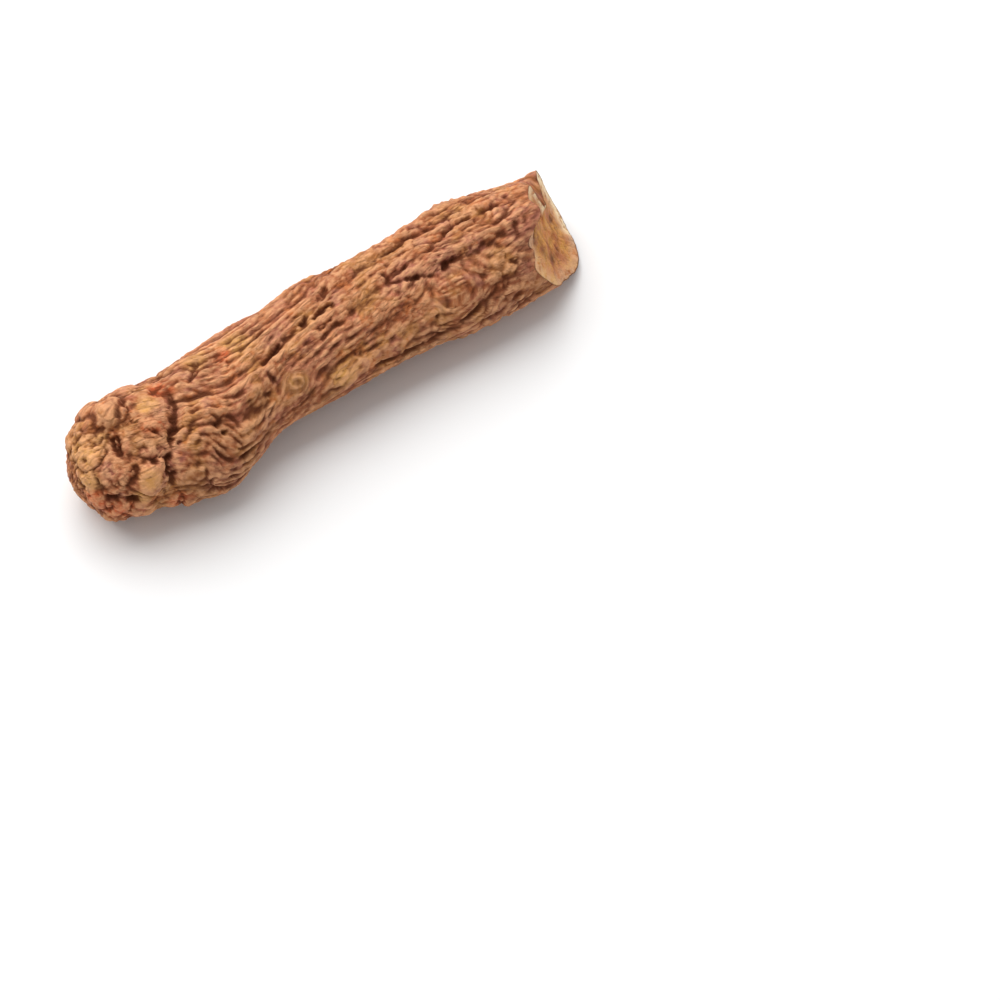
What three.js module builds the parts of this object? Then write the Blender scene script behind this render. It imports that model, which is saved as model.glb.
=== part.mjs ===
import * as THREE from "three";

// A roasted codonopsis root: one dried piece with a knobbly crown at -X, a bent, furrowed body, and a
// slanting cut at +X whose last fibres tore off as a tongue. It lies on the plane z = 0, on two spots of
// its underside.
// Units are millimetres. Around the root, an angle of 0 looks along +Y, 90 along +Z and 180 along -Y.

// Driving dimensions.
const CUT_AT = 83.2; // from the crown's tip to the middle of the cut
const CUT_SLANT_Y = 5.0; // how much longer the +Y side is than the middle
const CUT_SLANT_Z = -3.7; // how much longer the top is than the middle
const CROWN_ROUND = 8.5; // length over which the crown rounds off to its tip
const DISH = 0.9; // how far the cut face has shrunk in at its middle
const FLAT = 0.45; // how deep the two resting spots are worn flat
const FLOOR_SQUARENESS = 2.5; // exponent of the lower half's outline: 2 is an ellipse, more is squarer

// Mesh density.
const RINGS = 60;
const CROWN_RINGS = 9;
const AROUND = 46;
const CUT_RINGS = [0.86, 0.62, 0.34];
const CUT_WAVES = 4; // how many times round the edge the shortest wave in the cut face goes

// Sections: distance from the crown's tip, half width, half height, sideways offset, and height of the
// underside.
const SECTIONS = [
  [0, 6.9, 6.4, -3.3, 1.3],
  [5, 8.0, 7.2, -3.0, 1.0],
  [10, 8.7, 7.6, -3.0, 0.8],
  [15, 9.6, 7.8, -3.7, 0.3],
  [20, 10.3, 8.1, -3.8, 0.0],
  [25, 9.6, 8.0, -2.8, 0.2],
  [30, 8.5, 7.7, -1.4, 0.9],
  [38, 8.4, 7.5, -0.9, 1.3],
  [47, 8.7, 7.6, -0.2, 1.4],
  [56, 8.8, 7.6, 0.2, 1.0],
  [63, 9.5, 8.1, 0.7, -0.1],
  [69, 10.1, 8.4, 1.0, -0.4],
  [75, 9.3, 8.1, 0.7, -0.1],
  [81, 8.5, 7.6, 0.3, 0.6],
  [90, 8.2, 7.3, 0.3, 1.1],
];

// Where the cut's edge isn't straight: how much further it reaches, at which angle, and its spread.
const EDGE_TEARS = [
  { out: 2.7, angle: 240, spread: 35 }, // a low tongue of torn fibres on the underside
  { out: -1.5, angle: 150, spread: 20 },
  { out: 2.6, angle: 105, spread: 15 }, // a lobe of bark
  { out: -1.2, angle: 345, spread: 30 },
];

// Broad lengthwise folds: how many go round, depth, turns round the root per mm, and starting angle.
const FOLDS = [
  { count: 3, depth: 0.34, drift: 0.3, start: 40 },
  { count: 5, depth: 0.3, drift: -0.35, start: 200 },
  { count: 8, depth: 0.2, drift: 0.55, start: 15 },
];

// Swellings (and, where out is negative, hollows): distance from the tip, angle, height, length and breadth.
const LUMPS = [
  { at: 8.5, angle: 70, out: 0.9, long: 2.5, broad: 2.4 }, // bud knob on the crown's far side
  { at: 13, angle: 85, out: 0.7, long: 3.4, broad: 3.6 }, // the crown's broad, smooth swelling
  { at: 9, angle: 150, out: 0.9, long: 2.7, broad: 2.5 }, // oval stem scar
  { at: 3, angle: 90, out: 0.8, long: 2.3, broad: 2.6 }, // warts of old stems round the tip
  { at: 1.5, angle: 125, out: 0.8, long: 2.0, broad: 2.6 },
  { at: 3.5, angle: 175, out: 0.8, long: 2.6, broad: 2.8 },
  { at: 3.5, angle: 230, out: 0.8, long: 2.2, broad: 2.6 },
  { at: 3, angle: 305, out: 0.8, long: 2.2, broad: 2.6 },
  { at: 8.5, angle: 0, out: 0.7, long: 2.8, broad: 2.8 },
  { at: 6.5, angle: 105, out: -0.7, long: 1.7, broad: 2.6 }, // pinch behind the tip's warts
  { at: 15.5, angle: 110, out: -0.7, long: 1.4, broad: 5.5 }, // crease where the crown meets the body
  { at: 12.5, angle: 160, out: -0.7, long: 1.4, broad: 5.0 },
  { at: 21.5, angle: 115, out: 0.5, long: 3.4, broad: 3.2 },
  { at: 25, angle: 150, out: 0.5, long: 2.6, broad: 2.4 },
  { at: 35, angle: 145, out: 0.35, long: 2.4, broad: 2.2 }, // round rootlet scar
  { at: 43, angle: 40, out: 0.5, long: 6.0, broad: 3.0 },
  { at: 52, angle: 10, out: -0.5, long: 5.0, broad: 3.0 },
  { at: 74, angle: 60, out: 0.4, long: 5.0, broad: 3.4 },
];

const radians = THREE.MathUtils.degToRad;

const sections = new THREE.CubicInterpolant(
  SECTIONS.map((row) => row[0]),
  SECTIONS.flatMap((row) => row.slice(1)),
  4,
  new Float64Array(4),
);

// Signed difference of two angles in degrees, from -180 to 180.
function turn(from, to) {
  return THREE.MathUtils.euclideanModulo(from - to + 180, 360) - 180;
}

// Distance from the tip to the cut's edge, at an angle round the root.
function cutEdge(angle) {
  const slant = CUT_SLANT_Y * Math.cos(radians(angle)) + CUT_SLANT_Z * Math.sin(radians(angle));
  const torn = EDGE_TEARS.reduce(
    (sum, tear) => sum + tear.out * Math.exp(-((turn(angle, tear.angle) / tear.spread) ** 2)),
    0,
  );
  return CUT_AT + slant + torn;
}

// Share of the full girth at a distance from the tip: 0 at the tip itself, 1 once the crown has rounded off.
function crownShare(at) {
  const left = Math.max(0, 1 - at / CROWN_ROUND);
  return Math.pow(1 - Math.pow(left, 2.6), 1 / 2.3);
}

// How far folds and lumps stand out from the plain outline, at a place where the root has this mean radius.
function relief(at, angle, radius) {
  let out = 0;
  for (const { count, depth, drift, start } of FOLDS) {
    out += depth * Math.cos(radians(count * (angle - start - drift * at)));
  }
  for (const lump of LUMPS) {
    const along = (at - lump.at) / lump.long;
    const across = (radians(turn(angle, lump.angle)) * radius) / lump.broad;
    out += lump.out * Math.exp(-(along * along + across * across));
  }
  return out;
}

// The surface point at a distance from the tip and an angle round the root.
function skin(at, angle) {
  const [halfWidth, halfHeight, aside, under] = sections.evaluate(at);
  const share = crownShare(at);
  const squareness = Math.sin(radians(angle)) < 0 ? FLOOR_SQUARENESS : 2;
  const c = Math.abs(Math.cos(radians(angle)));
  const s = Math.abs(Math.sin(radians(angle)));
  const plain = Math.pow(
    Math.pow(c / halfWidth, squareness) + Math.pow(s / halfHeight, squareness),
    -1 / squareness,
  );
  const radius = share * (plain + relief(at, angle, plain));
  return new THREE.Vector3(
    at,
    aside + radius * Math.cos(radians(angle)),
    under + halfHeight + radius * Math.sin(radians(angle)),
  );
}

// Rings of surface points from the crown to the cut, packed closer together where the crown rounds off.
function bodyRings() {
  const rings = [];
  for (let i = 1; i <= RINGS; i++) {
    const crown = CROWN_ROUND / CUT_AT;
    const share =
      i <= CROWN_RINGS
        ? crown * (1 - Math.cos((i / CROWN_RINGS) * (Math.PI / 2)))
        : crown + ((i - CROWN_RINGS) / (RINGS - CROWN_RINGS)) * (1 - crown);
    rings.push(
      Array.from({ length: AROUND }, (_, j) => {
        const angle = (360 * j) / AROUND;
        return skin(share * cutEdge(angle), angle);
      }),
    );
  }
  return rings;
}

// How far the cut face lies before or behind its middle, at a share of the way out to its edge: like a
// stretched membrane, whose waves die out inwards, the short ones first.
function cutWaves(edge, middle) {
  const waves = [];
  for (let count = 1; count <= CUT_WAVES; count++) {
    const wave = new THREE.Vector2();
    edge.forEach((point, j) => {
      const turned = (2 * Math.PI * count * j) / edge.length;
      const out = (2 * (point.x - middle.x)) / edge.length;
      wave.add(new THREE.Vector2(Math.cos(turned), Math.sin(turned)).multiplyScalar(out));
    });
    waves.push({ count, wave });
  }
  return (share, j) =>
    waves.reduce((sum, { count, wave }) => {
      const turned = (2 * Math.PI * count * j) / edge.length;
      return sum + Math.pow(share, count) * (wave.x * Math.cos(turned) + wave.y * Math.sin(turned));
    }, 0);
}

// The cut face: rings that shrink from its edge to its middle, which has dried in.
function cutRings(edge) {
  const middle = edge
    .reduce((sum, point) => sum.add(point), new THREE.Vector3())
    .divideScalar(edge.length);
  const waveAt = cutWaves(edge, middle);
  const rings = CUT_RINGS.map((share) =>
    edge.map((point, j) => {
      const inner = middle.clone().lerp(point, share);
      return inner.setX(middle.x + waveAt(share, j) - DISH * (1 - share * share));
    }),
  );
  return { rings, centre: middle.setX(middle.x - DISH) };
}

// Joins rings of points between two poles into one closed surface.
function closedSurface(tip, rings, centre) {
  const points = [tip, ...rings.flat(), centre];
  const last = points.length - 1;
  const at = (ring, j) => 1 + ring * AROUND + (j % AROUND);
  const faces = [];
  for (let j = 0; j < AROUND; j++) {
    faces.push(0, at(0, j + 1), at(0, j));
    for (let ring = 0; ring + 1 < rings.length; ring++) {
      const [a, b] = [at(ring, j), at(ring, j + 1)];
      const [c, d] = [at(ring + 1, j), at(ring + 1, j + 1)];
      faces.push(a, b, c, b, d, c);
    }
    faces.push(last, at(rings.length - 1, j), at(rings.length - 1, j + 1));
  }
  const geometry = new THREE.BufferGeometry().setFromPoints(points);
  geometry.setIndex(faces);
  return geometry;
}

// Sets the root down on z = 0 with its resting spots pressed flat, centred on X and Y.
function setDown(geometry) {
  geometry.computeBoundingBox();
  const low = geometry.boundingBox.min;
  const middle = geometry.boundingBox.getCenter(new THREE.Vector3());
  geometry.translate(-middle.x, -middle.y, -(low.z + FLAT));
  const positions = geometry.getAttribute("position");
  for (let i = 0; i < positions.count; i++) {
    positions.setZ(i, Math.max(0, positions.getZ(i)));
  }
}

function rootGeometry() {
  const body = bodyRings();
  const cut = cutRings(body.at(-1));
  const geometry = closedSurface(skin(0, 0), [...body, ...cut.rings], cut.centre);
  setDown(geometry);
  geometry.computeVertexNormals();
  return geometry;
}

const roastedSkin = new THREE.MeshStandardMaterial({
  color: new THREE.Color(0.41, 0.165, 0.075),
  roughness: 0.72,
  metalness: 0,
});

const root = new THREE.Mesh(rootGeometry(), roastedSkin);
root.name = "codonopsis_root";

const part = new THREE.Group();
part.add(root);

export default part;
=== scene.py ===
"""A roasted codonopsis root: its wrinkled skin, knobbly crown and torn cut end, lying on a pale floor.

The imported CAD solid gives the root's outline. It is measured by rays into a fine grid of rows from the
crown's tip to the cut, and of columns round the root. Wrinkles, creases, warts and scars then push that grid
in and out. Lengths are in millimetres up to the moment a mesh is made. Angles round the root are in degrees,
unless said otherwise: 0 looks along +Y, 90 along +Z and 180 along -Y. "At" is the distance from the crown's
tip, along +X.
"""

import math

import bpy
import numpy as np
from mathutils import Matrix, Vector
from mathutils.bvhtree import BVHTree


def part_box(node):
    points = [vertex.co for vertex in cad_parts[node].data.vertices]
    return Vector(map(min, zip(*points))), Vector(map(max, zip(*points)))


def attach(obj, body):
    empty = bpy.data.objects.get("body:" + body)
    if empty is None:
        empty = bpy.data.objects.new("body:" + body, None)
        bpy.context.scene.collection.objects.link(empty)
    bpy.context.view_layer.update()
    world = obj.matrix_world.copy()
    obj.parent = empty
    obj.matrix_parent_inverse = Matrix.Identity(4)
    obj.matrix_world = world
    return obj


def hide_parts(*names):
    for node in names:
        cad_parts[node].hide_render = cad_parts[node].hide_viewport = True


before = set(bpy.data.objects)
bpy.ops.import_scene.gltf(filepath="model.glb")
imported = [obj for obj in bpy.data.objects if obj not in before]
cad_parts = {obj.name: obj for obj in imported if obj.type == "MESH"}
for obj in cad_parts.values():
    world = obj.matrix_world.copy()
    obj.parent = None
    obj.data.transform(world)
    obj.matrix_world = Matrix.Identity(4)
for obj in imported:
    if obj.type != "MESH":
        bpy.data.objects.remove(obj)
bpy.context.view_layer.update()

MM = 0.001  # metres in a millimetre
NODE = "codonopsis_root"

# ---------------------------------------------------------------- the grid
CROWN_ROWS = 44  # over the round tip of the crown
BODY_ROWS = 302
CUT_ROWS = 30  # from the rim of the cut to its middle
AROUND = 252
CROWN_DEPTH = 9.0  # how far behind the tip the crown's rows are centred
FACET_BLUR = 4.0  # in grid steps, wide enough to lose the CAD solid's facets
GIRTH = 56.0  # usual distance round the root
OUTSIDE = 30.0  # further from the middle line than any of the skin
SPAN_STEPS = 6  # straight steps between two places that a crease or a ridge runs through
SWOLLEN = 0.35  # how far the skin stands out before its wrinkles sink in
THROUGH = 6.0  # what lies further off the skin's plane at a place is the root's other side
FAR_AWAY = 99.0  # stands for the distance of what isn't near

# How the CAD solid is measured.
TIP_MARGIN = 4.0  # from the tip to the first section whose middle is found
CUT_MARGIN = 12.0  # from the last such section to the far end
SECTION_STEP = 2.5
SECTION_RAYS = 24
CUT_REACH = 18.0  # the cut begins nowhere further than this from the far end
CUT_LEAN = 0.6  # a normal that leans more than this along +X is the cut's and not the skin's
HALVINGS = 14  # of the stretch in which the cut begins
RIM_INSET = 0.02  # a hair before the edge, so that the rays meet the skin

# Where the skin's character changes along the root: where each change begins and ends.
CROWN_TO_BODY = (13, 17)
WARTY_TO_BODY = (12, 18)
RINGED_FROM = (15, 17)  # behind the crown, the near side is wrinkled across
RINGED_TO = (22, 34)
BEADED_FROM = (44, 54)  # lengthwise stripes break up into beads

# ---------------------------------------------------------------- features, placed by at and angle
# Creases: depth, half width, and the places that they run through, by at and angle.
CREASES = [
    # Where the crown meets the body, all the way round.
    (1.4, 0.55, [
        (17.5, 75), (16.5, 95), (15.5, 110), (14.5, 120), (13.5, 130), (12.5, 145), (12, 160), (12.5, 175),
    ]),
    (1.0, 0.45, [
        (12.5, 175), (13, 220), (14.5, 250), (16, 275), (15, 300), (16.5, 330), (18, 370), (18, 415),
    ]),
    # Between the crown's knobs.
    (1.0, 0.40, [(5, 70), (6, 75), (7, 80)]),
    (0.9, 0.42, [(10.5, 65), (9.5, 75), (8.5, 85)]),
    (1.1, 0.45, [(7.5, 90), (7, 105), (6.5, 120)]),
    (1.0, 0.42, [(7, 120), (8.5, 130), (10, 135), (11.5, 140)]),
    (0.9, 0.40, [(8, 130), (7.5, 140), (6, 150)]),
    (1.0, 0.40, [(2.5, 160), (4, 160), (5.5, 165), (7, 170)]),
    # Behind the crown.
    (0.9, 0.36, [(14.5, 130), (16, 130), (17.5, 120)]),
    (0.8, 0.34, [(20.5, 130), (22, 130), (24, 130)]),
    (0.8, 0.34, [(21, 140), (22.5, 140), (24.5, 145)]),
    (0.7, 0.32, [(20.5, 75), (22, 70), (23.5, 60)]),
    (0.8, 0.36, [(31.5, 115), (32, 125), (32.5, 135)]),
    # Long ones on the body's upper side.
    (1.1, 0.42, [(31, 110), (33, 105), (35, 100), (36.5, 95), (40, 90), (41.5, 80)]),
    (0.8, 0.34, [(41.5, 95), (43.5, 90), (46, 90)]),
    (0.6, 0.30, [(40.5, 110), (42.5, 105), (44.5, 105)]),
    (0.6, 0.30, [(41, 120), (43, 115), (45, 110)]),
    (0.7, 0.32, [(44, 75), (46.5, 65)]),
    (1.1, 0.40, [(54.5, 80), (55, 90), (55, 100), (57.5, 105), (60, 110), (62, 115), (65, 110), (68, 110)]),
    (0.7, 0.32, [(68, 110), (72, 110)]),
    (1.0, 0.38, [(61.5, 90), (63.5, 85), (66, 80), (68.5, 75), (73, 75), (77, 75)]),
    (0.7, 0.34, [(57, 60), (59.5, 60), (62, 55)]),
    # On the far side and the underside.
    (0.9, 0.40, [(24, 215), (31, 225), (38, 225), (46, 230), (52, 240)]),
    (0.9, 0.38, [(40, 20), (47, 15), (55, 15), (62, 10), (70, 5)]),
    (0.8, 0.38, [(22, 305), (30, 310), (38, 310), (44, 320)]),
    (0.9, 0.38, [(57, 285), (64, 290), (71, 290), (77, 295)]),
    (0.7, 0.36, [(52, 190), (58, 200), (66, 195), (73, 205)]),
    (0.7, 0.34, [(20, 345), (24, 355), (26, 370), (30, 385)]),
]

# Low ridges: height, half width, and the places that they run through.
RIDGES = [
    (0.50, 0.42, [(3.5, 155), (5, 150), (6.5, 140)]),
    (0.45, 0.45, [(7, 150), (8.5, 165), (10, 175)]),
    (0.45, 0.50, [(15.5, 120), (17, 115), (18.5, 100), (18, 85)]),
    (0.35, 0.50, [(60, 40), (66, 45), (73, 45)]),
    (0.35, 0.50, [(34, 250), (42, 260), (50, 265)]),
]

# Knobs of the crown, which shoulder each other: at, angle, height, half length and half breadth.
KNOBS = [
    (3, 90, 0.8, 2.6, 2.6),  # the warty tip
    (1.5, 125, 0.6, 2.2, 2.2),
    (8.5, 70, 0.8, 2.2, 2.5),  # a bud knob
    (13, 85, 0.9, 3.6, 3.8),  # the broad, smooth swelling
    (10, 105, 0.3, 3.0, 3.6),
    (4.5, 130, 0.4, 3.3, 3.0),
    (9, 150, 0.8, 2.8, 2.7),  # an oval stem scar
    (1.5, 160, 0.6, 1.8, 2.0),
    (3.5, 180, 0.6, 2.4, 2.3),
    (7, 185, 0.5, 2.7, 2.5),
    (2.5, 40, 0.7, 2.3, 2.5),  # from here on, the far side and the underside
    (6.5, 35, 0.8, 2.8, 2.7),
    (12, 40, 0.6, 3.0, 3.1),
    (11, 5, 0.6, 3.0, 3.2),
    (4.5, 350, 0.8, 2.7, 2.8),
    (2, 300, 0.7, 2.2, 2.6),
    (8, 320, 0.7, 2.8, 3.0),
    (13.5, 330, 0.5, 3.0, 3.3),
    (3.5, 250, 0.8, 2.5, 2.7),
    (8.5, 275, 0.7, 2.7, 2.9),
    (13, 285, 0.5, 2.8, 3.2),
    (3, 210, 0.6, 2.2, 2.2),
    (8, 235, 0.7, 2.8, 2.9),
    (13, 240, 0.5, 2.9, 3.0),
    (13, 200, 0.5, 2.5, 2.6),
]

# Mounds on the body: at, angle, height, half length and half breadth.
MOUNDS = [
    (21.5, 115, 0.55, 2.6, 2.4),
    (25, 150, 0.50, 2.3, 2.0),
    (27.5, 115, 0.35, 3.0, 2.6),
    (72.5, 145, 0.35, 1.3, 1.1),
]

# Scars left by rootlets: at, angle, half length, half breadth, and how many lines run along them, or 0 for
# a ring.
SCARS = [
    (35, 145, 1.2, 1.1, 0),
    (63, 135, 2.4, 1.6, 4),
    (51, 260, 2.0, 1.3, 3),
    (29, 350, 1.3, 1.1, 0),
    (70, 30, 1.9, 1.2, 3),
]

# Pits: at, angle, depth and half width.
PITS = [
    (2.5, 75, 0.5, 0.34),
    (2.5, 100, 0.5, 0.32),
    (30.5, 140, 0.6, 0.36),
    (73.5, 140, 0.6, 0.36),
    (47.5, 110, 0.5, 0.34),
    (45, 115, 0.4, 0.30),
    (57.5, 105, 0.5, 0.34),
    (59, 155, 0.5, 0.34),
    (60, 225, 0.5, 0.36),
    (33, 20, 0.5, 0.36),
]

# Stains and patches of painted shade: at, angle and radius.
YELLOWS = [
    (3, 90, 2.8),
    (1.5, 130, 2.0),
    (5.5, 85, 1.2),
    (13.5, 80, 1.6),
    (9, 150, 1.6),
    (7, 165, 1.4),
    (23.5, 55, 1.8),
    (30, 70, 2.4),
    (35, 145, 1.8),
    (42, 165, 2.2),
    (3, 300, 2.6),
    (9, 20, 2.4),
    (66, 260, 4.0),
]
REDS = [
    (1.5, 160, 1.7),
    (3.5, 180, 2.0),
    (16.5, 65, 1.7),
    (13, 105, 1.3),
    (7, 110, 1.3),
    (12.5, 190, 1.8),
    (27.5, 70, 1.3),
    (6, 330, 1.8),
    (3, 260, 1.5),
    (21, 250, 2.2),
]
PURPLES = [
    (15, 85, 1.6),
    (35, 90, 2.0),
    (57, 100, 2.6),
    (64, 110, 2.6),
    (77, 120, 3.0),
    (45, 250, 4.0),
]
# Dark patches, mostly painted shade: the near side, the underside and the hollow under the cut's lobe are
# darkened where they would lie in shade.
SHADE_AND_DARK_STAINS = [
    (71, 170, 6.5),
    (19, 185, 6.5),
    (77, 140, 2.6),
    (28, 145, 3.0),
    (7, 110, 1.8),
    (56, 180, 4.0),
    (40, 290, 7.0),
]

# How the wrinkles wind about the root: at, and how far round the root they have turned back by there.
TWIST = [(0, 0.0), (18, 0.0), (28, -4.0), (34, -3.0), (50, 1.6), (60, 2.8), (90, 5.5)]


# ---------------------------------------------------------------- noise and patterns
NOISE_TABLE = 256  # entries, a power of two
NOISE_GAIN = 1.6  # brings gradient noise to about -1 to 1
PATTERN_LENGTH = 96.0
PATTERN_STEP = 0.2
PATTERN_ROUNDS = 90
PATTERN_TOP = 92  # the percentile of a pattern's heights that counts as a full ridge


def shuffled(order, cells):
    """A number out of a shuffled table for every cell of space."""
    x, y, z = np.moveaxis(cells, -1, 0)
    last = NOISE_TABLE - 1
    return order[(order[(order[x & last] + y) & last] + z) & last]


def gradient_noise(points, seed):
    """Smooth noise in space, about -1 to 1, whose features are about one unit across."""
    rng = np.random.default_rng(seed)
    order = rng.permutation(NOISE_TABLE)
    slopes = rng.normal(size=(NOISE_TABLE, 3))
    slopes /= np.linalg.norm(slopes, axis=1, keepdims=True)
    cell = np.floor(points).astype(int)
    local = points - cell
    fade = local**3 * (local * (local * 6 - 15) + 10)
    total = np.zeros(points.shape[:-1])
    for corner in np.ndindex(2, 2, 2):
        slope = slopes[shuffled(order, cell + corner)]
        weight = np.where(corner, fade, 1 - fade).prod(axis=-1)
        total += weight * (slope * (local - corner)).sum(axis=-1)
    return total * NOISE_GAIN


def layered_noise(points, seed, layers=3):
    """Gradient noise with finer, weaker copies of itself added."""
    return sum(gradient_noise(points * 2**k, seed + k) * 0.5**k for k in range(layers)) / 1.5


def cell_noise(points, seed):
    """Distances to the nearest and second nearest of points strewn one to a unit cell, and the tone of the
    nearest."""
    rng = np.random.default_rng(seed)
    order = rng.permutation(NOISE_TABLE)
    spots = rng.random((NOISE_TABLE, 3))
    tones = rng.random(NOISE_TABLE)
    cell = np.floor(points).astype(int)
    nearest = np.full(points.shape[:-1], np.inf)
    second, tone = nearest.copy(), np.zeros(points.shape[:-1])
    for step in np.ndindex(3, 3, 3):
        near = cell + np.array(step) - 1
        which = shuffled(order, near)
        distance = np.linalg.norm(near + spots[which] - points, axis=-1)
        tone = np.where(distance < nearest, tones[which], tone)
        second = np.minimum(second, np.maximum(nearest, distance))
        nearest = np.minimum(nearest, distance)
    return nearest, second, tone


def drying_pattern(wavelength, stretch, bumps, seed):
    """The folds that a shrinking skin buckles into, as a Swift-Hohenberg pattern on the unrolled root: 1 on
    ridges, -1 in valleys. stretch lengthens the folds along the root, and bumps, from 0 to 1, breaks them up
    into beads."""
    rows, columns = int(PATTERN_LENGTH / PATTERN_STEP), int(GIRTH / PATTERN_STEP)
    along = 2 * math.pi * np.fft.fftfreq(rows, PATTERN_STEP)[:, None]
    across = 2 * math.pi * np.fft.fftfreq(columns, PATTERN_STEP)[None, :]
    preferred = 2 * math.pi / wavelength
    squared = (across**2 + (stretch * along) ** 2) / preferred**2
    drive, tilt, time_step = 0.7, 0.25 * (1 - bumps), 0.5
    growth = drive - (1 - squared) ** 2 - tilt * (stretch * along / preferred) ** 2
    field = np.random.default_rng(seed).normal(scale=0.3, size=(rows, columns))
    for _ in range(PATTERN_ROUNDS):
        pushed = field + time_step * (bumps * field**2 - field**3)
        field = np.fft.ifft2(np.fft.fft2(pushed) / (1 - time_step * growth)).real
    field -= np.median(field)
    return np.clip(field / np.percentile(np.abs(field), PATTERN_TOP), -1.2, 1.2)


def sample(pattern, along, around):
    """The pattern at distances along and around the unrolled root, which it repeats over."""
    rows, columns = pattern.shape
    row, column = along / PATTERN_STEP, around / PATTERN_STEP
    i, j = np.floor(row).astype(int), np.floor(column).astype(int)
    a, b = row - i, column - j
    near = pattern[i % rows, j % columns] * (1 - b) + pattern[i % rows, (j + 1) % columns] * b
    far = pattern[(i + 1) % rows, j % columns] * (1 - b) + pattern[(i + 1) % rows, (j + 1) % columns] * b
    return near * (1 - a) + far * a


def blur(field, rows, columns):
    """Gaussian blur of a grid, by this many steps along the root and round it."""
    for axis, sigma, mode in ((0, rows, "edge"), (1, columns, "wrap")):
        if sigma <= 0:
            continue
        reach = math.ceil(3 * sigma)
        weights = np.exp(-0.5 * (np.arange(-reach, reach + 1) / sigma) ** 2)
        pads = [(0, 0)] * field.ndim
        pads[axis] = (reach, reach)
        padded = np.pad(field, pads, mode=mode)
        count = field.shape[axis]
        field = sum(
            w * np.take(padded, np.arange(k, k + count), axis=axis)
            for k, w in enumerate(weights / weights.sum())
        )
    return field


def step_between(low, high, value):
    """0 below low and 1 above high, turning smoothly between."""
    t = np.clip((value - low) / (high - low), 0, 1)
    return t * t * (3 - 2 * t)


def bell(value, width):
    """1 where the value is 0, falling off smoothly either way: about a third where it is width."""
    return np.exp(-((value / width) ** 2))


def bell_round(angle, middle, spread):
    """A bell over angles round the root, highest at the middle."""
    return bell((angle - middle + 180) % 360 - 180, spread)


def spline_between(a, b, c, d, t):
    """The point at a share t of the way from b to c, on a smooth curve that comes from a and goes on to d."""
    bend = 2 * a - 5 * b + 4 * c - d
    twist = 3 * b - a - 3 * c + d
    return (2 * b + (c - a) * t + bend * t**2 + twist * t**3) / 2


# ---------------------------------------------------------------- measuring the CAD solid
def solid_of(node):
    """The CAD solid as a tree for casting rays, in millimetres."""
    corners = [v.co / MM for v in node.data.vertices]
    return BVHTree.FromPolygons(corners, [tuple(p.vertices) for p in node.data.polygons])


def outward(angle):
    """The way out of the root, square to its length, at an angle in radians."""
    return Vector((0, math.cos(angle), math.sin(angle)))


def middle_line(solid, low, high):
    """Where along x the root's sections are, from behind the tip to before the cut, and the y and z of their
    middles."""
    places = np.arange(low.x + TIP_MARGIN, high.x - CUT_MARGIN, SECTION_STEP)
    middles = []
    middle = Vector((0, (low.y + high.y) / 2, (low.z + high.z) / 2))
    for x in places:
        for _ in range(3):
            middle.x = x
            ways = [outward(math.tau * k / SECTION_RAYS) for k in range(SECTION_RAYS)]
            middle = sum((solid.ray_cast(middle, way)[0] for way in ways), Vector()) / SECTION_RAYS
        middles.append((middle.y, middle.z))
    return places, blur(np.array(middles)[:, None, :], 1.5, 0)[:, 0, :]


def find_cut(solid, places, middles, high, angle):
    """Where along x the skin ends and the cut begins, at an angle in radians."""
    near, far = high.x - CUT_REACH, high.x + 1
    for _ in range(HALVINGS):
        x = (near + far) / 2
        y, z = (np.interp(x, places, middles[:, k]) for k in (0, 1))
        start = Vector((x, y, z)) + outward(angle) * OUTSIDE
        place, normal, _, _ = solid.ray_cast(start, -outward(angle))
        if place is None or normal.x > CUT_LEAN:
            far = x
        else:
            near = x
    return near


def measure(node):
    """The root's smooth surface as a grid of points, each point's at and angle, and the middle of its cut."""
    solid = solid_of(node)
    low, high = (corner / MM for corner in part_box(node.name))
    places, middles = middle_line(solid, low, high)
    angles = math.tau * np.arange(AROUND) / AROUND
    cut = np.array([find_cut(solid, places, middles, high, a) for a in angles])
    cut = blur(cut[None, :], 0, 2.0)[0]
    crown_x = low.x + CROWN_DEPTH

    rows = CROWN_ROWS + BODY_ROWS
    starts = np.zeros((rows, AROUND, 3))
    ways = np.zeros((rows, AROUND, 3))
    for row in range(rows):
        tilt = min(1, (row + 1) / CROWN_ROWS) * math.pi / 2
        share = max(0, row + 1 - CROWN_ROWS) / BODY_ROWS
        starts[row, :, 0] = crown_x + share * (cut - crown_x)
        ways[row, :, 0] = -math.cos(tilt)
        ways[row, :, 1] = math.sin(tilt) * np.cos(angles)
        ways[row, :, 2] = math.sin(tilt) * np.sin(angles)
    starts[..., 1] = np.interp(starts[..., 0], places, middles[:, 0])
    starts[..., 2] = np.interp(starts[..., 0], places, middles[:, 1])
    starts[-1, :, 0] -= RIM_INSET

    # Rays come from outside, because past the middle of the slanting cut the middle line is out of the solid.
    distance = np.zeros((rows, AROUND))
    for row in range(rows):
        for column in range(AROUND):
            way = Vector(ways[row, column])
            hit = solid.ray_cast(Vector(starts[row, column]) + way * OUTSIDE, -way)
            distance[row, column] = OUTSIDE - hit[3] if hit[0] is not None else np.nan
    for row in range(1, rows):
        lost = np.isnan(distance[row])
        distance[row, lost] = distance[row - 1, lost]
    distance = blur(distance, FACET_BLUR, FACET_BLUR)
    points = starts + ways * distance[..., None]
    face = solid.ray_cast(Vector((high.x + 5, *points[-1, :, 1:].mean(axis=0))), Vector((-1, 0, 0)))[0]
    return points, points[..., 0] - low.x, np.broadcast_to(np.degrees(angles), (rows, AROUND)), face


def normals_of(points):
    """Outward normals of a grid of points whose columns run round the root."""
    along = np.gradient(points, axis=0)
    around = np.roll(points, -1, axis=1) - np.roll(points, 1, axis=1)
    normal = np.cross(around, along)
    return normal / np.linalg.norm(normal, axis=-1, keepdims=True)


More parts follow.
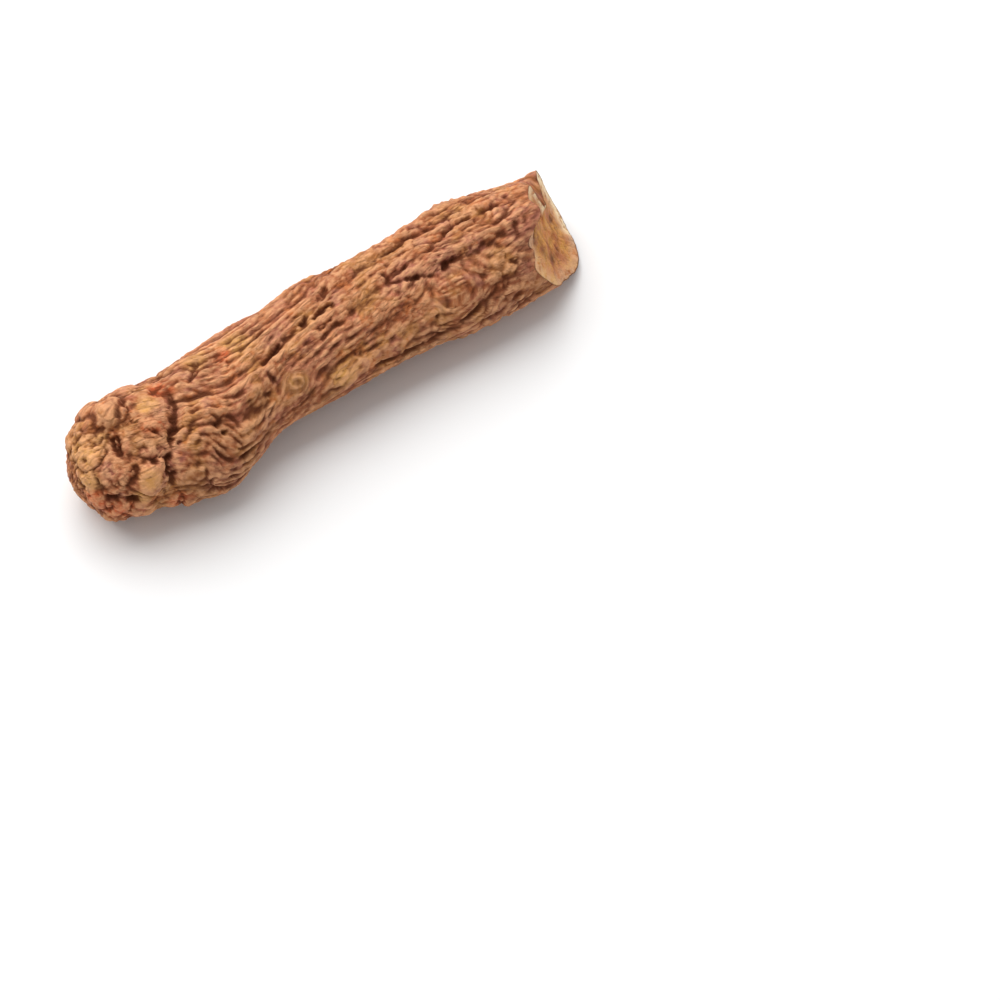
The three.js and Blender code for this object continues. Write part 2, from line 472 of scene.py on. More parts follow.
class Skin:
    """The root's smooth skin: where each grid point is, and what lies how far from a place on it."""

    def __init__(self, node):
        self.points, self.at, self.angle, self.cut_middle = measure(node)
        self.normals = normals_of(self.points)
        self.around = self.angle / 360 * GIRTH

    def place(self, at, angle):
        """The point of the skin at a distance from the tip and an angle."""
        column = angle / 360 * AROUND
        first = int(math.floor(column))
        found = []
        for j in (first % AROUND, (first + 1) % AROUND):
            found.append(np.array([np.interp(at, self.at[:, j], self.points[:, j, k]) for k in range(3)]))
        return found[0] + (found[1] - found[0]) * (column - first)

    def offsets(self, at, angle):
        """How far every point lies from a place, along the root and round it."""
        here = self.place(at, angle)
        ahead = self.place(at + 0.6, angle) - here
        aside = self.place(at, angle + 4) - here
        ahead /= np.linalg.norm(ahead)
        aside -= ahead * (aside @ ahead)
        aside /= np.linalg.norm(aside)
        gap = self.points - here
        depth = gap - (gap @ ahead)[..., None] * ahead - (gap @ aside)[..., None] * aside
        far = np.linalg.norm(depth, axis=-1) > THROUGH
        return np.where(far, FAR_AWAY, gap @ ahead), np.where(far, FAR_AWAY, gap @ aside)

    def distance_to(self, route):
        """Distance from every point to a curve through places on the skin, and the share along it of its
        nearest place."""
        stops = np.array(route, float)
        stops[:, 1] = np.degrees(np.unwrap(np.radians(stops[:, 1])))
        padded = np.vstack([2 * stops[0] - stops[1], stops, 2 * stops[-1] - stops[-2]])
        curve = []
        for a, b, c, d in zip(padded, padded[1:], padded[2:], padded[3:]):
            for t in np.arange(0, 1, 1 / SPAN_STEPS):
                curve.append(self.place(*spline_between(a, b, c, d, t)))
        curve.append(self.place(*stops[-1]))
        nearest, progress = np.full(self.at.shape, np.inf), np.zeros(self.at.shape)
        for k, (start, end) in enumerate(zip(curve, curve[1:])):
            step = end - start
            share = np.clip((self.points - start) @ step / (step @ step), 0, 1)
            gap = self.points - start - share[..., None] * step
            squared = (gap * gap).sum(axis=-1)
            progress = np.where(squared < nearest, (k + share) / (len(curve) - 1), progress)
            nearest = np.minimum(nearest, squared)
        return np.sqrt(nearest), progress


# ---------------------------------------------------------------- relief
def valleys(pattern, sharpness):
    """How deep a pattern's valleys are: 0 on its ridges and 1 at the bottom. Sharper ones are narrower."""
    return np.clip((1 - pattern) / 2, 0, 1) ** sharpness


def flow(skin):
    """Where each point looks up its wrinkles: they wind about the root, wander, and part round its scars."""
    along, around = skin.at.copy(), skin.around.copy()
    turned = np.interp(np.arange(91), *zip(*TWIST))
    around += np.interp(skin.at, np.arange(91), blur(turned[:, None], 3, 0)[:, 0])
    for size, strength, seed in ((8.0, 1.2, 11), (2.6, 0.32, 13)):
        places = skin.points / [1.7 * size, size, size]
        around += strength * gradient_noise(places, seed)
        along += 1.5 * strength * gradient_noise(places, seed + 1)
    for at, angle, long, broad, _ in SCARS:
        ahead, aside = skin.offsets(at, angle)
        reach = 1.25 * max(long, broad)
        share = reach**2 / np.maximum(ahead**2 + aside**2, reach**2)
        around -= aside * share
    return along, around


def round_grain(skin, along, around):
    """The unrolled coordinates rolled up into a plain cylinder, so that noise in them has no seam. Near the
    tip, where they would run together, they turn into plain coordinates."""
    turned = 2 * math.pi * around / GIRTH
    radius = GIRTH / (2 * math.pi)
    rolled = np.stack([along, radius * np.cos(turned), radius * np.sin(turned)], axis=-1)
    plain = skin.points - skin.points[CROWN_ROWS].mean(axis=0) + [CROWN_DEPTH, 0, 0]
    share = 1 - step_between(4, 10, skin.at)
    return rolled + share[..., None] * (plain - rolled)


def wrinkle_depth(skin, along, around):
    """Depth of the wrinkles of all sizes, and a tone for every little block of skin between them."""
    at, places = skin.at, skin.points
    crown = 1 - step_between(*CROWN_TO_BODY, at + 1.5 * gradient_noise(places / 3, 45))
    cut = step_between(-4.0, -0.5, at - at[-1])
    beaded = step_between(*BEADED_FROM, at + 7 * gradient_noise(places / 9, 21))
    near_side = bell_round(skin.angle, 175, 48)
    ringed = step_between(*RINGED_FROM, at) * (1 - step_between(*RINGED_TO, at)) * (0.45 + 0.75 * near_side)
    rough = np.clip(0.9 + 0.9 * gradient_noise(places / 5.5, 22), 0.25, 1.7)
    broken = np.clip(0.8 + 1.3 * gradient_noise(places / 2.2, 23), 0.1, 1.6)

    folds = valleys(sample(drying_pattern(5.0, 3.2, 0.1, 31), along, around), 1.8)
    creases = valleys(sample(drying_pattern(2.7, 2.4, 0.3, 32), along, around), 3.0)
    stripes = valleys(sample(drying_pattern(1.25, 2.2, 0.3, 33), along, around), 1.6)
    beads = valleys(sample(drying_pattern(1.35, 1.3, 0.7, 34), along, around), 1.6)
    rings = valleys(sample(drying_pattern(1.5, 0.45, 0.3, 35), along, around), 2.0)

    grain = round_grain(skin, along, around)
    bent = np.stack([gradient_noise(places / 1.7, 24 + k) for k in range(3)], axis=-1)
    near, second, tone = cell_noise((grain + 0.45 * bent) / [2.5, 1.35, 1.35], 27)
    net = bell(second - near, 0.20) + 0.5 * near
    small_near, small_second, _ = cell_noise((grain + 0.3 * bent) / [1.5, 0.9, 0.9], 28)
    small_net = bell(small_second - small_near, 0.25)

    depth = 0.40 * folds
    depth += 0.30 * creases * rough * broken
    depth += (0.20 * stripes * (1 - beaded) + 0.18 * beads * beaded) * rough
    depth += (0.08 + 0.10 * beaded) * net * np.clip(rough, 0.5, 1.3)
    depth += 0.10 * small_net * np.clip(1.6 - rough, 0.4, 1.3)
    depth += rings * (0.06 + 0.34 * ringed) * broken
    return depth * (1 - 0.8 * crown) * (1 - 0.6 * cut), tone


def knob_height(skin):
    """Height of the crown's knobs, less the clefts where two meet, and how much of a knob each point is."""
    bent = [
        1.3 * gradient_noise(skin.points / 2.6, 40 + k) + 0.5 * layered_noise(skin.points / 1.1, 50 + k)
        for k in (0, 1)
    ]
    best, second = np.full(skin.at.shape, -9.0), np.full(skin.at.shape, -9.0)
    height = np.zeros(skin.at.shape)
    for at, angle, out, long, broad in KNOBS:
        ahead, aside = skin.offsets(at, angle)
        swollen = 1 - ((ahead + bent[0]) / long) ** 2 - ((aside + bent[1]) / broad) ** 2
        height = np.maximum(height, out * np.clip(swollen, 0, 1) ** 0.9)
        second = np.maximum(second, np.minimum(best, swollen))
        best = np.maximum(best, swollen)
    inside = step_between(-0.9, 0.1, best)
    strength = np.clip(0.45 + 1.5 * gradient_noise(skin.points / 1.7, 43), 0.0, 1.3)
    clefts = bell(best - second, 0.15) * inside * strength
    return height - 0.45 * clefts, step_between(-0.3, 0.35, best)


def crown_depth(skin):
    """Depth of the warty and crumpled skin of the crown."""
    crown = 1 - step_between(*WARTY_TO_BODY, skin.at + 1.5 * gradient_noise(skin.points / 3, 45))
    bent = np.stack([gradient_noise(skin.points / 1.6, 46 + k) for k in range(3)], axis=-1)
    near, second, _ = cell_noise((skin.points + 0.5 * bent) / 1.35, 44)
    warty = step_between(-0.25, 0.45, gradient_noise(skin.points / 3.0, 48) + 0.5 - skin.at / 11)
    warts = 0.5 * near + 0.4 * bell(second - near, 0.22)
    crumpled = 1 - np.abs(layered_noise(skin.points / 2.0, 47)).clip(0, 1)
    return crown * (0.50 * warts * (0.10 + 0.90 * warty) + 0.22 * crumpled**8)


def crease_depth(skin):
    """Depth of the creases, less the height of the lips along them and of the ridges."""
    depth, raised = np.zeros(skin.at.shape), np.zeros(skin.at.shape)
    ragged = layered_noise(skin.points / 1.1, 51) + 1.1 * gradient_noise(skin.points / 2.6, 55)
    broken = np.clip(0.8 + 1.4 * gradient_noise(skin.points / 1.4, 54), 0.15, 1.05)
    for deep, half_width, route in CREASES:
        distance, progress = skin.distance_to(route)
        tapered = step_between(-0.06, 0.16, progress) * (1 - step_between(0.84, 1.06, progress))
        distance = np.abs(distance + 0.45 * ragged)
        width = half_width * np.clip(0.95 + 0.45 * ragged, 0.45, 1.4) * (0.5 + 0.5 * tapered)
        strength = deep * tapered * broken
        valley = 0.60 * bell(distance, width) + 0.40 * bell(distance / width, 2.6)
        depth = np.maximum(depth, strength * valley)
        raised = np.maximum(raised, 0.16 * strength * bell(distance - 0.95, 0.5))
    for high, half_width, route in RIDGES:
        distance, progress = skin.distance_to(route)
        tapered = step_between(-0.1, 0.3, progress) * (1 - step_between(0.7, 1.1, progress))
        distance = distance * (1 + 0.35 * ragged) + 0.15 * ragged
        raised = np.maximum(raised, high * tapered * bell(distance, half_width))
    return depth - raised


def mound_height(skin):
    """Height of the mounds on the body."""
    height = np.zeros(skin.at.shape)
    lumpy = gradient_noise(skin.points / 1.6, 61)
    for at, angle, out, long, broad in MOUNDS:
        ahead, aside = skin.offsets(at, angle)
        distance = np.sqrt((ahead / long) ** 2 + (aside / broad) ** 2) * (1 + 0.2 * lumpy)
        height += out * (1 - step_between(0.3, 1.25, distance))
    return height


def scar_shape(skin):
    """Height of the rootlet scars, and how much of a scar each point is."""
    height, share = np.zeros(skin.at.shape), np.zeros(skin.at.shape)
    uneven = layered_noise(skin.points / 1.3, 65)
    broken = np.clip(0.8 + 1.2 * gradient_noise(skin.points / 0.9, 68), 0.2, 1.4)
    for at, angle, long, broad, lines in SCARS:
        ahead, aside = skin.offsets(at, angle)
        distance = np.sqrt((ahead / long) ** 2 + (aside / broad) ** 2) + 0.22 * uneven
        inside = 1 - step_between(0.75, 1.25, distance)
        across = aside / broad / np.sqrt(np.clip(1 - (0.8 * ahead / long) ** 2, 0.2, 1)) + 0.10 * uneven
        ripple = 0.5 + 0.5 * np.cos(math.pi * lines * across)
        if lines == 0:
            ripple = bell(distance - 0.75, 0.28)
        height += inside * (0.30 * ripple * broken - 0.12)
        share = np.maximum(share, inside)
    return height, share


def pit_depth(skin):
    """Depth of the pits, which are longer than they are wide."""
    depth = np.zeros(skin.at.shape)
    bent = [0.45 * layered_noise(skin.points / 0.9, 75 + k) for k in (0, 1)]
    for at, angle, deep, half_width in PITS:
        ahead, aside = skin.offsets(at, angle)
        distance = np.hypot((ahead + bent[0]) / 1.7, aside + bent[1])
        depth += deep * bell(distance, half_width)
    return depth


def stained(skin, spots, seed):
    """How stained each point is by spots with uneven edges."""
    share = np.zeros(skin.at.shape)
    uneven = layered_noise(skin.points / 1.8, seed)
    for at, angle, radius in spots:
        ahead, aside = skin.offsets(at, angle)
        distance = np.hypot(ahead / 1.3, aside) / radius * (1 + 0.45 * uneven)
        share = np.maximum(share, 1 - step_between(0.35, 1.25, distance))
    return share


def relief(skin, along, around):
    """The skin's height above its smooth surface in millimetres, and its tones."""
    scars, scarred = scar_shape(skin)
    wrinkles, tones = wrinkle_depth(skin, along, around)
    knobs, knobby = knob_height(skin)
    height = -wrinkles * (1 - 0.65 * scarred) * (1 - 0.75 * knobby)
    height += knobs - crown_depth(skin)
    height -= crease_depth(skin)
    height += mound_height(skin) + scars
    height -= pit_depth(skin)
    height += 0.07 * layered_noise(skin.points / [0.9, 0.55, 0.55], 71)
    height += SWOLLEN
    return height, tones


# ---------------------------------------------------------------- the cut
CUT_WAVES = 39  # how many waves of its rim carry on into the cut face
FISSURE_ANGLE = 115
FISSURE_SPREAD = 22
FISSURE_PLACE = 0.26  # its share of the way from the rim to the middle
FISSURE_WIDTH = 0.08
FISSURE_DEPTH = 0.60
CORTEX_WIDTH = 0.22  # the pale rim's share of the way in


def cut_face(skin, edge):
    """Rows of points from the rim of the cut to near its middle, how far in they are, and how dark: painted
    shade in the fissure and furrows, and darker rings.
    """
    middle = edge.mean(axis=0)
    hollow = middle[0] - skin.cut_middle.x
    inward = ((np.arange(CUT_ROWS) + 1) / (CUT_ROWS + 0.6)) ** 1.15
    share = (1 - inward)[:, None, None]
    points = middle + share * (edge - middle)
    turned = np.radians(skin.angle[0])
    waves = np.zeros(share.shape[:1] + edge.shape[:1])
    for count in range(1, CUT_WAVES + 1):
        turn = np.stack([np.cos(count * turned), np.sin(count * turned)])
        size = 2 * (turn * (edge[:, 0] - middle[0])).mean(axis=1)
        waves += share[..., 0] ** count * (size @ turn)
    points[..., 0] = middle[0] + waves - hollow * (1 - share[..., 0] ** 2)

    angle = np.broadcast_to(turned, waves.shape)
    deep_in = np.broadcast_to(inward[:, None], waves.shape)
    spokes = np.stack([np.cos(angle) * 2.6, np.sin(angle) * 2.6, deep_in * 1.6], axis=-1)
    furrows = gradient_noise(spokes * 1.4, 81) * (1 - step_between(0.5, 0.8, deep_in))
    fibres = gradient_noise(np.stack([np.cos(angle) * 8, np.sin(angle) * 8, deep_in * 3], axis=-1), 82)
    rough = layered_noise(points / 1.1, 83)
    uneven = deep_in + 0.06 * gradient_noise(points / 1.7, 84)
    top = bell_round(skin.angle[:1], FISSURE_ANGLE, FISSURE_SPREAD)
    fissure = bell(uneven - FISSURE_PLACE, FISSURE_WIDTH) * top
    rings = 0.5 + 0.5 * np.cos(2 * math.pi * (uneven * 4.2 + 0.25 * gradient_noise(points / 2.5, 87)))
    inner = step_between(0.25, 0.45, uneven)
    height = 0.09 * rough + 0.06 * fibres - 0.07 * rings * inner
    height += 0.16 * furrows * inner - FISSURE_DEPTH * fissure
    height *= step_between(0, 0.05, deep_in)
    points[..., 0] += height
    # Painted shade in the fissure and where the furrows sink, and darker rings.
    dark = 1.2 * fissure + 0.30 * rings**3 * inner + 0.5 * step_between(0.1, 0.5, -furrows) * inner
    return points, np.clip(uneven, 0.01, 1), np.clip(dark, 0, 1)


def rim_paleness(skin):
    """How pale the rim of the cut is round the root: most where its bark is split off."""
    far = bell_round(skin.angle[:1], 20, 50)
    low = bell_round(skin.angle[:1], 300, 22)
    return np.clip(0.25 + far + low, 0, 1)


# ---------------------------------------------------------------- the mesh
FINE_BLUR = 2.2  # in grid steps: what is lower than its surroundings this far out is a fine hollow
COARSE_BLUR = 7


def faces_of(rows):
    """Faces of a closed surface: a pole, rings of points, and another pole."""
    ring = 1 + AROUND * np.arange(rows)[:, None] + np.arange(AROUND)[None, :]
    after = np.roll(ring, -1, axis=1)
    quads = np.stack([ring[:-1], after[:-1], after[1:], ring[1:]], axis=-1).reshape(-1, 4)
    last = 1 + rows * AROUND
    first_fan = [(0, b, a) for a, b in zip(ring[0], after[0])]
    last_fan = [(last, a, b) for a, b in zip(ring[-1], after[-1])]
    return [tuple(f) for f in first_fan] + [tuple(f) for f in quads] + [tuple(f) for f in last_fan]


def marks_of(skin, height, tones, inward, dark):
    """What the material needs to know at every point, as values on the skin and values on the cut."""
    no_cut, no_skin = np.zeros_like(height), np.zeros_like(inward)
    fine = blur(height, FINE_BLUR, FINE_BLUR) - height
    coarse = blur(height, COARSE_BLUR, COARSE_BLUR) - height
    return {
        # hollow is painted shade: on the skin it darkens what lies lower than its surroundings, and on the
        # cut the fissure and furrows, along with the cut's darker rings.
        "hollow": (np.clip(0.65 * fine / 0.12 + 0.5 * coarse / 0.40, 0, 1), dark),
        # ridge is a painted highlight on what stands higher than its surroundings.
        "ridge": (np.clip(-0.6 * fine / 0.08 - 0.5 * coarse / 0.30, 0, 1), no_skin),
        # Painted shade deep in the valleys.
        "depth": (np.clip((coarse - 0.25) / 0.7, 0, 1), no_skin),
        "tone": (tones, no_skin + 0.5),
        "yellow": (stained(skin, YELLOWS, 91), no_skin),
        "red": (stained(skin, REDS, 92), no_skin),
        "purple": (stained(skin, PURPLES, 93), no_skin),
        # Mostly painted shade, with some dark stains.
        "dark": (stained(skin, SHADE_AND_DARK_STAINS, 94), no_skin),
        "cut": (no_cut, no_skin + 1),
        "cream": (no_cut, np.clip(1.3 * bell(inward, CORTEX_WIDTH) * rim_paleness(skin), 0, 1)),
    }


def build_root(node):
    """The root's skin and cut as one closed mesh, with the marks that its material reads."""
    skin = Skin(node)
    along, around = flow(skin)
    height, tones = relief(skin, along, around)
    points = skin.points + skin.normals * height[..., None]
    cut_points, inward, dark = cut_face(skin, points[-1])
    rings = np.concatenate([points, cut_points])
    tip, middle = rings[0].mean(axis=0), rings[-1].mean(axis=0)
    flat = np.vstack([tip, rings.reshape(-1, 3), middle])
    flat[:, 2] = np.maximum(flat[:, 2], 0)

    mesh = bpy.data.meshes.new("root_skin")
    mesh.from_pydata((flat * MM).tolist(), [], faces_of(len(rings)))
    mesh.polygons.foreach_set("use_smooth", [True] * len(mesh.polygons))

    for name, (on_skin, on_cut) in marks_of(skin, height, tones, inward, dark).items():
        values = np.concatenate([on_skin, on_cut])
        values = np.concatenate([[values[0].mean()], values.ravel(), [values[-1].mean()]])
        marks = mesh.attributes.new(name, "FLOAT", "POINT").data
        marks.foreach_set("value", values.astype(np.float32))
    grain = np.concatenate([round_grain(skin, along, around), cut_points]).reshape(-1, 3)
    grain = np.vstack([grain[0], grain, grain[-1]]) * MM
    vectors = mesh.attributes.new("grain", "FLOAT_VECTOR", "POINT").data
    vectors.foreach_set("vector", grain.ravel().astype(np.float32))
    root = bpy.data.objects.new("root_skin", mesh)
    bpy.context.scene.collection.objects.link(root)
    return root


# ---------------------------------------------------------------- materials
class Nodes:
    """Short ways to add nodes to a material."""

    def __init__(self, material):
        material.use_nodes = True
        self.tree = material.node_tree
        self.tree.nodes.clear()

    def add(self, kind, settings=None, **inputs):
        node = self.tree.nodes.new(kind)
        for name, value in (settings or {}).items():
            setattr(node, name, value)
        for name, value in inputs.items():
            self.set(node, name.replace("_", " "), value)
        return node

    def set(self, node, name, value):
        if isinstance(value, bpy.types.NodeSocket):
            self.tree.links.new(value, node.inputs[name])
        else:
            node.inputs[name].default_value = value

    def attribute(self, name):
        return self.add("ShaderNodeAttribute", {"attribute_name": name}).outputs["Fac"]

    def math(self, operation, a, b=0.0):
        node = self.add("ShaderNodeMath", {"operation": operation, "use_clamp": False})
        self.set(node, 0, a)
        self.set(node, 1, b)
        return node.outputs[0]

    def cracks(self, where, scale):
        """1 on the edges between cells of about 1/scale metres, and 0 inside them."""
        node = self.add("ShaderNodeTexVoronoi", {"feature": "DISTANCE_TO_EDGE"}, Vector=where, Scale=scale)
        return self.math("SUBTRACT", 1.0, self.between(node.outputs["Distance"], 0.0, 0.22))

    def moved(self, where, by):
        """The same coordinates, moved so that another texture in them doesn't line up with the first."""
        return self.add("ShaderNodeMapping", Vector=where, Location=(by, by / 2, -by)).outputs["Vector"]

    def noise(self, where, scale, detail=3.0, roughness=0.55):
        node = self.add("ShaderNodeTexNoise", Vector=where, Scale=scale, Detail=detail, Roughness=roughness)
        return node.outputs["Fac"]

    def between(self, value, low, high):
        """Maps low..high to 0..1, clamped."""
        node = self.add("ShaderNodeMapRange", Value=value)
        self.set(node, "From Min", low)
        self.set(node, "From Max", high)
        return node.outputs["Result"]

    def mix(self, share, a, b, blend="MIX"):
        node = self.add("ShaderNodeMix", {"data_type": "RGBA", "blend_type": blend})
        for socket, value in zip([node.inputs[0], node.inputs[6], node.inputs[7]], [share, a, b]):
            if isinstance(value, bpy.types.NodeSocket):
                self.tree.links.new(value, socket)
            else:
                socket.default_value = value
        return node.outputs[2]


def colour(red, green, blue):
    """A colour in linear light."""
    return (red, green, blue, 1.0)


RED_BROWN = colour(0.36, 0.098, 0.032)
TAN_BROWN = colour(0.49, 0.170, 0.060)
PINK_BROWN = colour(0.48, 0.160, 0.086)
DARK_BROWN = colour(0.19, 0.058, 0.022)
MAUVE = colour(0.39, 0.130, 0.095)
OCHRE = colour(0.49, 0.210, 0.052)
ORANGE = colour(0.62, 0.170, 0.034)
PALE_FLECK_AND_RIDGE_HIGHLIGHT = colour(0.78, 0.39, 0.19)
DARK_FLECK_AND_VALLEY_SHADE = colour(0.100, 0.022, 0.005)
YELLOW_BROWN = colour(0.74, 0.37, 0.10)
RED_SPOT = colour(0.62, 0.100, 0.022)
PALE_CORTEX = colour(0.97, 0.74, 0.46)
CUT_TAN = colour(0.62, 0.23, 0.075)
CUT_YELLOW = colour(0.64, 0.29, 0.060)
CUT_BROWN = colour(0.40, 0.115, 0.038)
CUT_RING_AND_CRACK_SHADE = colour(0.09, 0.024, 0.007)


def skin_colour(n, where, lengthwise, fine_net):
    """The roasted skin: browns in patches and flecks, a painted highlight on the ridges, and painted shade in
    the valleys, the cracks and on the near side.
    """
    base = n.mix(n.between(n.noise(where, 130, 2), 0.42, 0.58), RED_BROWN, TAN_BROWN)
    for scale, low, high, share, tint in (
        (240, 0.48, 0.60, 0.80, PINK_BROWN),
        (185, 0.52, 0.62, 0.80, OCHRE),
        (285, 0.58, 0.67, 0.70, MAUVE),
        (330, 0.59, 0.67, 0.60, ORANGE),
    ):
        patch = n.between(n.noise(n.moved(where, scale), scale, 2), low, high)
        base = n.mix(n.math("MULTIPLY", patch, share), base, tint)
    base = n.mix(n.math("MULTIPLY", n.attribute("purple"), 0.75), base, MAUVE)
    base = n.mix(n.math("MULTIPLY", n.attribute("yellow"), 0.90), base, YELLOW_BROWN)
    base = n.mix(n.math("MULTIPLY", n.attribute("red"), 0.95), base, RED_SPOT)
    # Painted shade, with some dark stains: darker patches on the near side, the underside and under the cut's
    # lobe.
    base = n.mix(n.math("MULTIPLY", n.attribute("dark"), 0.55), base, DARK_BROWN)
    murky = n.between(n.noise(n.moved(where, 7), 95, 3), 0.54, 0.66)
    base = n.mix(n.math("MULTIPLY", murky, 0.45), base, DARK_BROWN)

    tone = n.attribute("tone")
    base = n.mix(n.math("MULTIPLY", n.between(tone, 0.6, 1.0), 0.30), base, PALE_FLECK_AND_RIDGE_HIGHLIGHT)
    base = n.mix(n.math("MULTIPLY", n.between(tone, 0.4, 0.0), 0.45), base, RED_BROWN)
    mottle = n.noise(lengthwise, 1050, 3, 0.6)
    base = n.mix(n.math("MULTIPLY", n.between(mottle, 0.52, 0.68), 0.45), base, PALE_FLECK_AND_RIDGE_HIGHLIGHT)
    base = n.mix(n.math("MULTIPLY", n.between(mottle, 0.46, 0.32), 0.55), base, DARK_FLECK_AND_VALLEY_SHADE)
    # Painted highlight: what stands higher than its surroundings is made paler, broken up by noise.
    ridge_highlight = n.math("MULTIPLY", n.attribute("ridge"), n.between(n.noise(where, 800, 3), 0.25, 0.6))
    base = n.mix(n.math("MULTIPLY", ridge_highlight, 0.75), base, PALE_FLECK_AND_RIDGE_HIGHLIGHT)
    # Painted shade: the fine net's cracks, the deep valleys and the hollows are darkened where shade falls.
    base = n.mix(n.math("MULTIPLY", fine_net, 0.40), base, DARK_FLECK_AND_VALLEY_SHADE)
    base = n.mix(n.math("MULTIPLY", n.attribute("depth"), 0.8), base, DARK_FLECK_AND_VALLEY_SHADE)
    return n.mix(n.math("MULTIPLY", n.attribute("hollow"), 0.85), base, DARK_FLECK_AND_VALLEY_SHADE)


def cut_colour(n, where):
    """The cut face: a pale split rim, tan and yellow-brown rings inside it, and painted shade in its fissure
    and furrows.
    """
    base = n.mix(n.between(n.noise(where, 330, 2), 0.40, 0.60), CUT_TAN, CUT_YELLOW)
    base = n.mix(n.math("MULTIPLY", n.between(n.noise(where, 420, 4), 0.44, 0.62), 0.85), base, CUT_BROWN)
    streaks = n.between(n.noise(where, 900, 2), 0.30, 0.50)
    base = n.mix(n.math("MULTIPLY", n.attribute("cream"), streaks), base, PALE_CORTEX)
    # Painted shade in the fissure and furrows, and the darker rings.
    return n.mix(n.attribute("hollow"), base, CUT_RING_AND_CRACK_SHADE)


def root_material():
    """The skin's and the cut's colours, with painted shade and highlights, and fibres, pores and a net of
    fine cracks.
    """
    material = bpy.data.materials.new("roasted_skin")
    n = Nodes(material)
    where = n.add("ShaderNodeTexCoord").outputs["Object"]
    grain = n.add("ShaderNodeAttribute", {"attribute_name": "grain"}).outputs["Vector"]
    lengthwise = n.add("ShaderNodeMapping", Vector=grain, Scale=(0.45, 1, 1)).outputs["Vector"]
    # The fine net's cracks are sunk by the bump and darkened in the colour as painted shade.
    fine_net = n.math("MULTIPLY", n.cracks(lengthwise, 1150), n.between(n.noise(where, 500, 2), 0.3, 0.65))
    skin = skin_colour(n, where, lengthwise, fine_net)
    shown = n.mix(n.attribute("cut"), skin, cut_colour(n, where))

    fibres = n.noise(lengthwise, 2400, 4, 0.6)
    pores = n.noise(where, 3800, 2)
    bumps = n.math("ADD", fibres, n.math("MULTIPLY", pores, 0.4))
    bumps = n.math("SUBTRACT", bumps, n.math("MULTIPLY", fine_net, 0.6))
    bump = n.add("ShaderNodeBump", Strength=0.9, Distance=0.00030, Height=bumps)
    rough = n.between(n.noise(where, 800, 3), 0.3, 0.7)
    rough = n.math("ADD", n.math("MULTIPLY", rough, 0.2), 0.55)
    rough = n.math("ADD", rough, n.math("MULTIPLY", n.attribute("hollow"), 0.2))
    shader = n.add("ShaderNodeBsdfPrincipled")
    n.set(shader, "Base Color", shown)
    n.set(shader, "Roughness", rough)
    n.set(shader, "Normal", bump.outputs["Normal"])
    n.set(shader, "Specular IOR Level", 0.22)
    output = n.add("ShaderNodeOutputMaterial")
    n.set(output, "Surface", shader.outputs["BSDF"])
    return material


# ---------------------------------------------------------------- camera, floor and light, in metres
VIEW_AZIMUTH = -31.5  # the root is seen from its crown's side, well above it
VIEW_ELEVATION = 58.0
CAMERA_DISTANCE = 0.5
FRAME_WIDTH = 0.149  # how wide the picture is at the root's distance
FRAME_RIGHT = 0.02475  # how far the picture's middle lies right of the root and below it
FRAME_DOWN = 0.0231
SENSOR_MM = 36.0
FLOOR_HALF = 3.0
FLOOR_WHITE = 0.86
WORLD_STRENGTH = 0.52


def camera_axes():
    """The picture's right, up and back directions."""
    azimuth, elevation = math.radians(VIEW_AZIMUTH), math.radians(VIEW_ELEVATION)
    right = Vector((math.cos(azimuth), math.sin(azimuth), 0))
    level = math.cos(elevation)
    back = Vector((math.sin(azimuth) * level, -math.cos(azimuth) * level, math.sin(elevation)))
    return right, back.cross(right), back


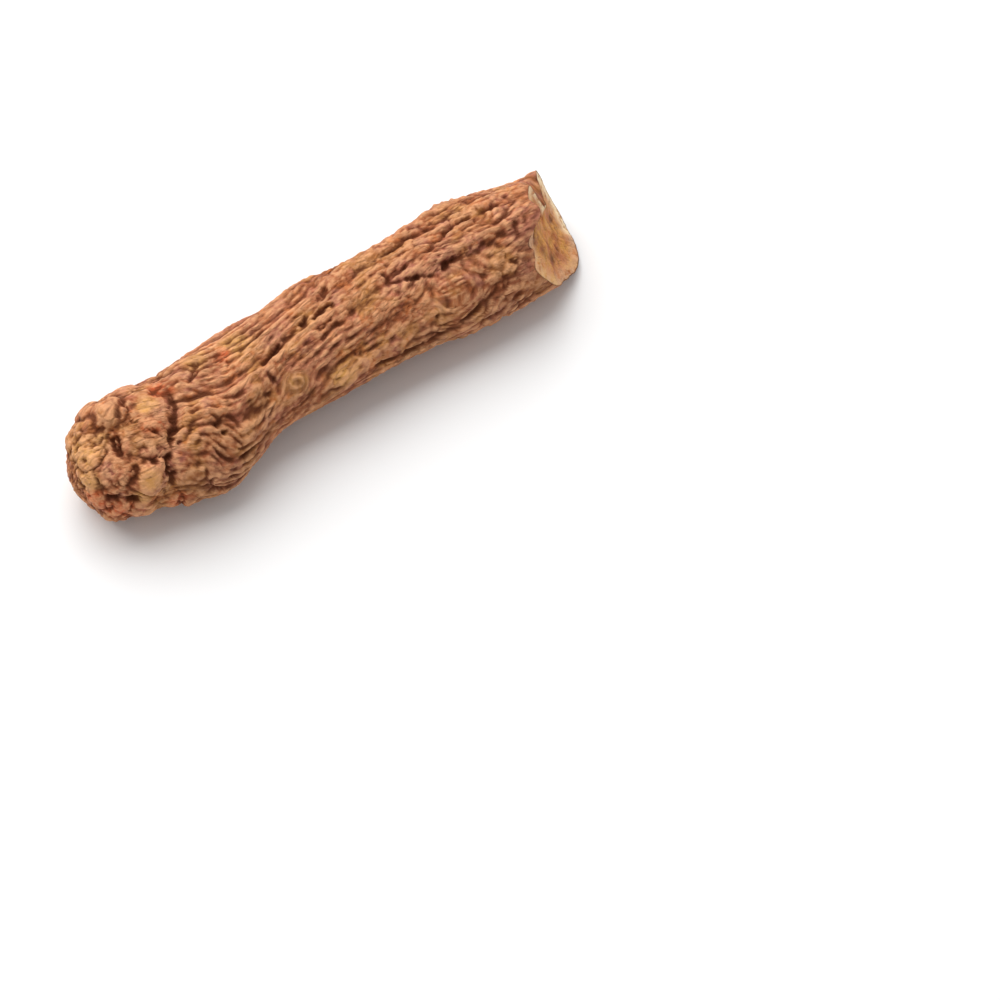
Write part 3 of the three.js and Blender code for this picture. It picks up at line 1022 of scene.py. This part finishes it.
def add_camera(centre):
    right, up, back = camera_axes()
    camera = bpy.data.objects.new("camera", bpy.data.cameras.new("camera"))
    camera.data.sensor_width = SENSOR_MM
    camera.data.lens = SENSOR_MM * CAMERA_DISTANCE / FRAME_WIDTH
    camera.data.clip_start = 0.01
    camera.location = centre + right * FRAME_RIGHT - up * FRAME_DOWN + back * CAMERA_DISTANCE
    camera.rotation_mode = "QUATERNION"
    camera.rotation_quaternion = (-back).to_track_quat("-Z", "Y")
    bpy.context.scene.collection.objects.link(camera)
    bpy.context.scene.camera = camera


def add_floor():
    mesh = bpy.data.meshes.new("floor")
    corners = [(x * FLOOR_HALF, y * FLOOR_HALF, 0) for x, y in ((-1, -1), (1, -1), (1, 1), (-1, 1))]
    mesh.from_pydata(corners, [], [(0, 1, 2, 3)])
    floor = bpy.data.objects.new("floor", mesh)
    material = bpy.data.materials.new("floor_white")
    n = Nodes(material)
    white = colour(FLOOR_WHITE, FLOOR_WHITE, FLOOR_WHITE)
    shader = n.add("ShaderNodeBsdfPrincipled", Base_Color=white, Roughness=0.9)
    output = n.add("ShaderNodeOutputMaterial")
    n.set(output, "Surface", shader.outputs["BSDF"])
    mesh.materials.append(material)
    bpy.context.scene.collection.objects.link(floor)


def add_light(name, toward, distance, size, power):
    """A square soft light that stands toward a direction from the root and faces it."""
    data = bpy.data.lights.new(name, "AREA")
    data.shape = "SQUARE"
    data.size = size
    data.energy = power
    light = bpy.data.objects.new(name, data)
    way = Vector(toward).normalized()
    light.location = way * distance
    light.rotation_mode = "QUATERNION"
    light.rotation_quaternion = (-way).to_track_quat("-Z", "Y")
    bpy.context.scene.collection.objects.link(light)


def add_world():
    world = bpy.data.worlds.new("studio")
    world.use_nodes = True
    background = world.node_tree.nodes["Background"]
    background.inputs["Color"].default_value = (1, 1, 1, 1)
    background.inputs["Strength"].default_value = WORLD_STRENGTH
    bpy.context.scene.world = world


def build_scene():
    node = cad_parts[NODE]
    low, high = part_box(NODE)
    add_camera((low + high) / 2)
    add_floor()
    add_world()
    right, up, back = camera_axes()
    add_light("key", 0.95 * up - 0.35 * right + 0.55 * back, distance=0.6, size=0.85, power=5.9)
    add_light("fill", 0.3 * up + 0.8 * right + 0.7 * back, distance=0.8, size=0.5, power=0.15)
    root = build_root(node)
    root.data.materials.append(root_material())
    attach(root, "root")
    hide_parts(NODE)
    bpy.context.scene.view_settings.view_transform = "Standard"


build_scene()
